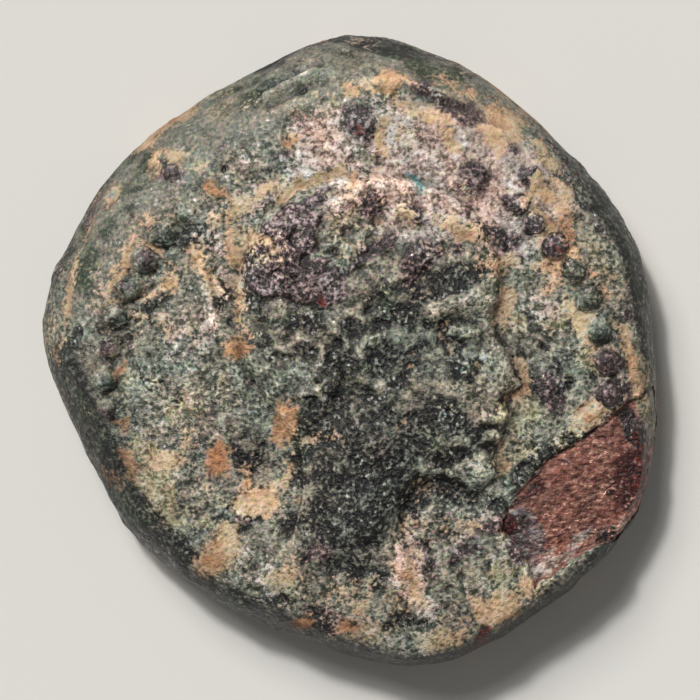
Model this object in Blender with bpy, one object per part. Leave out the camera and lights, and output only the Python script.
"""A worn ancient bronze coin: one struck piece of metal, lying on its reverse.

The obverse, with a head in profile inside a ring of beads, faces up along +Z, and the
head stands along +Y. The origin is under the middle of the coin, on what it lies on.
All sizes here are in millimetres, and MM turns them to metres as the mesh is made.
"""

import itertools
import math

import bmesh
import bpy
import numpy as np

MM = 0.001

# The blank: a cast round, hammered flat in places around its edge.
BLANK_RADIUS = 9.85
EDGE_FLATS = (  # direction of each flat in degrees, and its distance from the middle
    (4, 8.95),
    (43, 8.75),
    (74, 9.4),
    (121, 8.65),
    (154, 9.0),
    (206, 8.35),
    (239, 8.35),
    (256, 8.85),
    (307, 9.75),
)
CORNER_CRISPNESS = 16  # higher gives sharper corners between flats

# The cross-section: a low dome, a bevelled edge, a belt and a small turn to the reverse.
DOME_HEIGHT = 3.7
SHOULDER_HEIGHT = 3.1
BELT_HEIGHT = 1.15
BEVEL_WIDTH = 1.25
BEVEL_SWING = 0.6  # how much wider the bevel is towards BEVEL_WIDEST
BEVEL_WIDEST = math.radians(128)
BEVEL_ROUNDING = 1.75  # 1 is a flat chamfer, and 2 would be a half round
ROUNDING_SWING = 0.35  # how much flatter the bevel is towards BEVEL_WIDEST
HEEL_WIDTH = 1.05
HEEL_ROUNDING = 1.5
REVERSE_FIELD = 0.2  # the reverse's field stays this far above the table
LUMP_SIZE = 2.6
LUMP_RISE = 0.07

# The obverse design, struck a little low on the blank.
STRIKE = (0.1, -1.45)
BORDER_RADIUS = 7.35
BORDER_PHASE = math.radians(2)
BEAD_COUNT = 50
BEAD_RADIUS = 0.38
BEAD_RISE = 0.3
CLEAR_ARCS = ((18, 50), (163, 42))  # where the beads are least worn: direction and half width
WORN_BEAD = 0.12  # share of its height that a bead keeps elsewhere
HEAD_HEIGHT = 9.1  # from the crown to the chin
HEAD_AT = (0.6, -4.0)  # below the ear, at the level of the chin
HEAD_RISE = 0.66
EDGE_SOFTNESS = 0.13  # width of the head's rounded edge, in head heights
HAIR_RISE = 0.14
LOCK_COUNT = 13
LOCK_SWIRL = 1.6  # how far the locks turn on their way out, in radians for each head height
CURL_COUNT = 8
CURL_RADIUS, CURL_THICKNESS, CURL_RISE = 0.034, 0.018, 0.07
BAND_HALF_WIDTH, BAND_RISE = 0.03, 0.13
RIBBON_HALF_WIDTH, RIBBON_RISE = 0.022, 0.3
BODY_RISE = 0.72  # the head's own form, before face and hair are laid on it

# The reverse design: a rosette in a ring of beads, worn flat where the coin lies on it.
BOSS_RADIUS = 1.5
BOSS_SOFTNESS = 0.3
PETAL_COUNT = 8
PETAL_REACH = 4.9
PETAL_WIDTH = 0.75
BOSS_RISE, PETAL_RISE, BEAD_SHARE = 2.0, 1.6, 1.0  # before wear, as shares of REVERSE_FIELD
REVERSE_BORDER_RADIUS = 6.7
REVERSE_BEAD_COUNT = 44

# The chip: a flake lost from the edge, down to bare metal. The outline runs on past the edge.
CHIP_OUTLINE = (
    (9.8, -0.5), (8.1, -1.35), (7.65, -1.7), (7.15, -2.08), (6.4, -2.6), (5.65, -3.1),
    (4.95, -3.85), (4.42, -4.47), (4.22, -5.2), (4.78, -5.75), (5.12, -6.35), (5.3, -6.9),
    (6.4, -6.05), (7.15, -5.67), (8.0, -5.45), (9.8, -5.0),
)
CHIP_DIRECTION = math.radians(-47)  # the way its floor falls
CHIP_FROM_MIDDLE = 6.62  # how far out the floor begins to fall
CHIP_FLOOR = 3.2  # height of the floor there
CHIP_SLOPE = math.tan(math.radians(17))

DENSE_RINGS = 100  # grid rings on each face before the mesh is thinned
FACE_SHARE = 0.76  # share of the obverse's rings that lie inside its bevel
REVERSE_FACE_SHARE = 0.85
KEPT_SHARE = 0.055  # share of the dense mesh's triangles that are kept

# Outlines in head heights: x forward from below the ear, y up from the chin.
HEAD_OUTLINE = (
    (0.33, 0.86), (0.395, 0.73), (0.405, 0.62), (0.385, 0.54), (0.425, 0.44),
    (0.475, 0.335), (0.42, 0.29), (0.43, 0.235), (0.41, 0.2), (0.42, 0.165),
    (0.385, 0.12), (0.4, 0.055), (0.33, 0.0), (0.18, 0.03), (0.1, -0.08),
    (0.11, -0.25), (0.16, -0.39), (0.0, -0.43), (-0.25, -0.42), (-0.46, -0.36),
    (-0.3, -0.2), (-0.22, 0.0), (-0.25, 0.16), (-0.37, 0.34), (-0.44, 0.55),
    (-0.4, 0.78), (-0.24, 0.95), (-0.02, 1.0), (0.19, 0.96),
)
HAIR_OUTLINE = (
    (0.3, 0.85), (0.22, 0.75), (0.13, 0.63), (0.07, 0.52), (-0.02, 0.5),
    (-0.08, 0.36), (-0.14, 0.2), (-0.24, 0.14), (-0.37, 0.32), (-0.45, 0.55),
    (-0.4, 0.78), (-0.24, 0.95), (-0.02, 1.0), (0.17, 0.96),
)
HAIRLINE = ((0.29, 0.83), (0.2, 0.71), (0.12, 0.6), (-0.06, 0.42), (-0.14, 0.24))
CROWN_WHORL = (-0.12, 0.74)
BAND = ((0.31, 0.9), (0.12, 0.76), (-0.12, 0.6), (-0.4, 0.47))
RIBBONS = (
    ((-0.42, 0.47), (-0.46, 0.62), (-0.45, 0.44), (-0.41, 0.3)),
    ((-0.42, 0.5), (-0.53, 0.74), (-0.52, 0.6), (-0.47, 0.46)),
)
FACE_FORMS = (  # path, half width and rise of each modelled form
    (((0.2, 0.57), (0.3, 0.6), (0.37, 0.59)), 0.032, 0.13),  # brow
    (((0.25, 0.5), (0.31, 0.5)), 0.045, -0.12),  # eye socket
    (((0.25, 0.505), (0.315, 0.5)), 0.022, 0.11),  # eyeball
    (((0.38, 0.53), (0.42, 0.4)), 0.03, 0.06),  # bridge of the nose
    (((0.385, 0.325), (0.4, 0.315)), 0.03, 0.09),  # wing of the nose
    (((0.2, 0.36), (0.27, 0.33)), 0.09, 0.08),  # cheek
    (((0.36, 0.228), (0.41, 0.232)), 0.017, 0.07),  # upper lip
    (((0.355, 0.2), (0.4, 0.2)), 0.009, -0.1),  # parting of the lips
    (((0.365, 0.172), (0.405, 0.17)), 0.017, 0.07),  # lower lip
    (((0.36, 0.06), (0.375, 0.05)), 0.045, 0.06),  # chin
    (((0.02, 0.26), (0.08, 0.1), (0.27, 0.02)), 0.04, 0.05),  # jaw
    (((0.02, 0.49), (-0.03, 0.44), (-0.01, 0.36), (0.02, 0.33)), 0.02, 0.12),  # ear
    (((-0.08, 0.2), (0.0, 0.0), (0.07, -0.3)), 0.05, 0.08),  # neck muscle
)


def smooth_step(value, low, high):
    """0 below low, 1 above high, and an S curve between."""
    share = np.clip((value - low) / (high - low), 0, 1)
    return share * share * (3 - 2 * share)


def noise(points, size, seed):
    """Smooth noise from -1 to 1 with lumps about `size` across, the same on each run."""
    cell = np.floor(points / size).astype(np.int64)
    share = points / size - cell
    share = share * share * (3 - 2 * share)
    total = np.zeros(len(points))
    for corner in itertools.product((0, 1), repeat=3):
        key = (cell + corner) @ (73856093, 19349663, 83492791) + seed * 1013
        key = (key ^ (key >> 13)) * 1274126177 & 0x7FFFFFFF
        key = (key ^ (key >> 16)) % 65536
        weight = np.prod(np.where(corner, share, 1 - share), axis=1)
        total += weight * (key / 32767.5 - 1)
    return total


def places(radius, angle):
    """Points on the level at these distances and directions from the middle."""
    return np.stack([radius * np.cos(angle), radius * np.sin(angle)], axis=1)


def curve_through(points, closed=False, steps=8):
    """A smooth line through the points, as closely spaced points on it."""
    knots = np.array(points, float)
    if closed:
        knots = np.vstack([knots[-1], knots, knots[:2]])
    else:
        knots = np.vstack([2 * knots[0] - knots[1], knots, 2 * knots[-1] - knots[-2]])
    found = []
    for before, start, end, after in zip(knots, knots[1:], knots[2:], knots[3:]):
        for t in np.arange(steps) / steps:
            found.append(
                0.5 * (2 * start + (end - before) * t
                       + (2 * before - 5 * start + 4 * end - after) * t**2
                       + (3 * (start - end) + after - before) * t**3)
            )
    if not closed:
        found.append(knots[-2])
    return np.array(found)


def distance_to(at, line):
    """How far each point is from a line given as closely spaced points."""
    nearest = np.full(len(at), np.inf)
    for start, end in zip(line, line[1:]):
        along = end - start
        share = np.clip((at - start) @ along / max(along @ along, 1e-12), 0, 1)
        gap = at - (start + share[:, None] * along)
        nearest = np.minimum(nearest, np.hypot(gap[:, 0], gap[:, 1]))
    return nearest


def depth_inside(at, outline):
    """How far each point is inside a closed outline, and below 0 outside it."""
    ends = np.roll(outline, -1, axis=0)
    inside = np.zeros(len(at), bool)
    for (x0, y0), (x1, y1) in zip(outline, ends):
        if y0 != y1:
            crosses = (y0 > at[:, 1]) != (y1 > at[:, 1])
            inside ^= crosses & (at[:, 0] < x0 + (at[:, 1] - y0) * (x1 - x0) / (y1 - y0))
    gap = distance_to(at, np.vstack([outline, outline[:1]]))
    return np.where(inside, gap, -gap)


def ridge(at, path, half_width):
    """1 on a smooth line through the path, falling to 0 over about two half widths."""
    return np.exp(-((distance_to(at, curve_through(path)) / half_width) ** 2))


def petals(at):
    """A rosette of pointed leaves round the boss: 1 along each leaf's middle, 0 between them."""
    pitch = 2 * math.pi / PETAL_COUNT
    angle = np.arctan2(at[:, 1], at[:, 0])
    off = angle - np.round(angle / pitch) * pitch
    reach = np.hypot(*at.T)
    along = np.clip((reach * np.cos(off) - BOSS_RADIUS) / (PETAL_REACH - BOSS_RADIUS), 0, 1)
    half_width = PETAL_WIDTH * np.maximum(np.sin(math.pi * along**0.8), 0.01) ** 0.6
    dome = np.sqrt(np.clip(1 - (reach * np.sin(off) / half_width) ** 2, 0, 1))
    return dome * (along > 0) * (along < 1)


def beads(at, centre, ring_radius, count, radius):
    """A ring of round beads: 1 on top of each, and 0 between them."""
    from_centre = at - centre
    angle = np.arctan2(from_centre[:, 1], from_centre[:, 0]) - BORDER_PHASE
    pitch = 2 * math.pi / count
    nearest = np.round(angle / pitch) * pitch + BORDER_PHASE
    gap = np.hypot(*(from_centre - places(ring_radius, nearest)).T)
    return np.sqrt(np.clip(1 - (gap / radius) ** 2, 0, 1))


def bead_wear(at):
    """What is left of the border's beads in each direction from the strike's middle."""
    left = np.full(len(at), WORN_BEAD)
    angle = np.arctan2(*(at - STRIKE).T[::-1])
    for direction, half_width in CLEAR_ARCS:
        off = np.abs(np.angle(np.exp(1j * (angle - math.radians(direction)))))
        left = np.maximum(left, smooth_step(math.radians(half_width) - off, -0.1, 0.25))
    return left


def hair(at):
    """Locks combed out from the crown to a band, and a row of curls below it."""
    cap = smooth_step(depth_inside(at, curve_through(HAIR_OUTLINE, closed=True)), 0, 0.05)
    from_whorl = at - CROWN_WHORL
    reach = np.hypot(*from_whorl.T)
    turn = np.arctan2(from_whorl[:, 1], from_whorl[:, 0]) + LOCK_SWIRL * reach
    locks = np.abs(np.cos(LOCK_COUNT * turn / 2)) * smooth_step(reach, 0.03, 0.2)
    curls = np.zeros(len(at))
    hairline = curve_through(HAIRLINE)
    for middle in hairline[:: len(hairline) // CURL_COUNT]:
        gap = np.hypot(*(at - middle).T)
        curls = np.maximum(curls, np.exp(-(((gap - CURL_RADIUS) / CURL_THICKNESS) ** 2)))
    band = ridge(at, BAND, BAND_HALF_WIDTH)
    relief = HAIR_RISE * (0.4 + 0.7 * locks) * (1 - band) + BAND_RISE * band
    return cap * relief + CURL_RISE * curls


def head(at):
    """Relief of the head, in head heights of the places, from 0 to about 1."""
    depth = depth_inside(at, curve_through(HEAD_OUTLINE, closed=True))
    roll = 1 - np.clip(depth / EDGE_SOFTNESS, 0, 1)
    relief = BODY_RISE * np.sqrt(1 - roll**2) * (depth > 0)
    inside = smooth_step(depth, 0, 0.03)
    for path, half_width, rise in FACE_FORMS:
        relief += rise * ridge(at, path, half_width) * inside
    relief += hair(at) * smooth_step(depth, -0.02, 0.02)
    for path in RIBBONS:
        relief = np.maximum(relief, RIBBON_RISE * ridge(at, path, RIBBON_HALF_WIDTH))
    return relief


def obverse_relief(at):
    """Height of the struck design above the obverse's field."""
    border = BEAD_RISE * beads(at, STRIKE, BORDER_RADIUS, BEAD_COUNT, BEAD_RADIUS)
    border *= bead_wear(at)
    portrait = HEAD_RISE * head((at - HEAD_AT) / HEAD_HEIGHT)
    return np.maximum(border, portrait)


def reverse_relief(at):
    """Height of the struck design above the reverse's field, before it is worn flat."""
    border = beads(at, (0, 0), REVERSE_BORDER_RADIUS, REVERSE_BEAD_COUNT, BEAD_RADIUS)
    boss = smooth_step(BOSS_RADIUS - np.hypot(*at.T), -BOSS_SOFTNESS, 0)
    relief = np.maximum(BEAD_SHARE * border, BOSS_RISE * boss)
    return REVERSE_FIELD * np.maximum(relief, PETAL_RISE * petals(at))


def edge_radius(angle):
    """Distance from the middle to the edge, in each direction."""
    total = np.full(len(angle), BLANK_RADIUS**-CORNER_CRISPNESS, float)
    for direction, distance in EDGE_FLATS:
        facing = np.maximum(np.cos(angle - math.radians(direction)), 0) / distance
        total += facing**CORNER_CRISPNESS
    return total ** (-1 / CORNER_CRISPNESS)


def disc_grid(rings):
    """A square grid wrapped onto a disc: each point's angle and share of the way out, and the quads."""
    steps = np.arange(-rings, rings + 1)
    across, up = (grid.ravel() for grid in np.meshgrid(steps, steps))
    sideways = np.abs(across) > np.abs(up)
    out = np.where(sideways, across, up)
    lean = math.pi / 4 * np.where(sideways, up, across) / np.where(out == 0, 1, out)
    angle = np.where(sideways, lean, math.pi / 2 - lean) + math.pi * (out < 0)
    side = len(steps)
    first = (np.arange(side - 1)[:, None] * side + np.arange(side - 1)).ravel()
    quads = np.stack([first, first + 1, first + side + 1, first + side], axis=1)
    return angle, np.abs(out) / rings, quads


def rounded_corner(share, rounding):
    """At a share of the way round a rounded edge, the share gone outwards and the height left."""
    turn = np.clip(share, 0, 1) * math.pi / 2
    across = np.sin(turn) ** (2 / rounding)
    height_left = np.maximum(np.cos(turn), 0) ** (2 / rounding)
    return across, height_left


def obverse_side():
    """Points and quads from the middle of the obverse out over the bevel to the belt."""
    angle, share, quads = disc_grid(DENSE_RINGS)
    edge = edge_radius(angle)
    towards_widest = np.cos(angle - BEVEL_WIDEST)
    bevel = BEVEL_WIDTH + BEVEL_SWING * towards_widest
    rounding = BEVEL_ROUNDING - ROUNDING_SWING * towards_widest
    across, fall = rounded_corner((share - FACE_SHARE) / (1 - FACE_SHARE), rounding)
    flat = np.minimum(share / FACE_SHARE, 1)
    at = places((edge - bevel) * flat + bevel * across, angle)
    height = np.where(
        share < FACE_SHARE,
        DOME_HEIGHT - (DOME_HEIGHT - SHOULDER_HEIGHT) * flat**2,
        BELT_HEIGHT + (SHOULDER_HEIGHT - BELT_HEIGHT) * fall,
    )
    on_face = smooth_step(edge - np.hypot(*at.T), 0.35 * BEVEL_WIDTH, 1.1 * BEVEL_WIDTH)
    height += obverse_relief(at) * on_face
    return np.column_stack([at, height]), quads


def reverse_side():
    """Points and quads from the belt in under the coin, worn flat where it rests."""
    angle, share, quads = disc_grid(DENSE_RINGS)
    edge = edge_radius(angle)
    heel_share = (share - REVERSE_FACE_SHARE) / (1 - REVERSE_FACE_SHARE)
    across, fall = rounded_corner(heel_share, HEEL_ROUNDING)
    flat = np.minimum(share / REVERSE_FACE_SHARE, 1)
    at = places((edge - HEEL_WIDTH) * flat + HEEL_WIDTH * across, angle)
    height = np.where(
        share < REVERSE_FACE_SHARE,
        np.maximum(REVERSE_FIELD - reverse_relief(at), 0),
        REVERSE_FIELD + (BELT_HEIGHT - REVERSE_FIELD) * (1 - fall),
    )
    return np.column_stack([at, height]), quads[:, ::-1]


def centred(points):
    """The points moved so that the middle of their box is on the Z axis."""
    middle = (points.min(axis=0) + points.max(axis=0)) / 2
    return points - (middle[0], middle[1], 0)


def coin_mesh():
    """The whole skin of the coin, both faces joined along the belt."""
    top, top_quads = obverse_side()
    bottom, bottom_quads = reverse_side()
    points = np.vstack([top, bottom])
    lumps = LUMP_RISE * noise(points, LUMP_SIZE, seed=5)
    points[:, 2] += lumps * smooth_step(points[:, 2], REVERSE_FIELD, BELT_HEIGHT)
    points = centred(points)
    mesh = bpy.data.meshes.new("coin")
    quads = np.vstack([top_quads, bottom_quads + len(top)])
    mesh.from_pydata((points * MM).tolist(), [], quads.tolist())
    made = bmesh.new()
    made.from_mesh(mesh)
    bmesh.ops.remove_doubles(made, verts=made.verts, dist=1e-7)
    bmesh.ops.recalc_face_normals(made, faces=made.faces)
    made.to_mesh(mesh)
    made.free()
    return mesh


def chip_cutter():
    """A block with the chip's outline and the chip's sloping floor for an underside."""
    made = bmesh.new()
    floor, lid = [], []
    for x, y in CHIP_OUTLINE:
        past = x * math.cos(CHIP_DIRECTION) + y * math.sin(CHIP_DIRECTION) - CHIP_FROM_MIDDLE
        floor.append(made.verts.new((x * MM, y * MM, (CHIP_FLOOR - CHIP_SLOPE * past) * MM)))
        lid.append(made.verts.new((x * MM, y * MM, 2 * DOME_HEIGHT * MM)))
    made.faces.new(floor)
    made.faces.new(lid)
    for i in range(len(floor)):
        made.faces.new((floor[i - 1], floor[i], lid[i], lid[i - 1]))
    bmesh.ops.recalc_face_normals(made, faces=made.faces)
    mesh = bpy.data.meshes.new("chip_cutter")
    made.to_mesh(mesh)
    made.free()
    cutter = bpy.data.objects.new("chip_cutter", mesh)
    cutter.hide_render = True
    cutter.display_type = "WIRE"
    return cutter


def bronze():
    """Corroded copper alloy: a dull grey green patina."""
    material = bpy.data.materials.new("patinated_bronze")
    material.use_nodes = True
    shader = material.node_tree.nodes["Principled BSDF"]
    shader.inputs["Base Color"].default_value = (0.13, 0.145, 0.11, 1)
    shader.inputs["Roughness"].default_value = 0.62
    shader.inputs["Metallic"].default_value = 0.0
    return material


def main():
    for old in list(bpy.data.objects):
        bpy.data.objects.remove(old)
    mesh = coin_mesh()
    mesh.materials.append(bronze())
    mesh.shade_smooth()
    coin = bpy.data.objects.new("coin", mesh)
    cutter = chip_cutter()
    for made in (coin, cutter):
        bpy.context.scene.collection.objects.link(made)
    thin = coin.modifiers.new("thin", "DECIMATE")
    thin.ratio = KEPT_SHARE
    chip = coin.modifiers.new("chip", "BOOLEAN")
    chip.object = cutter
    chip.operation = "DIFFERENCE"


main()
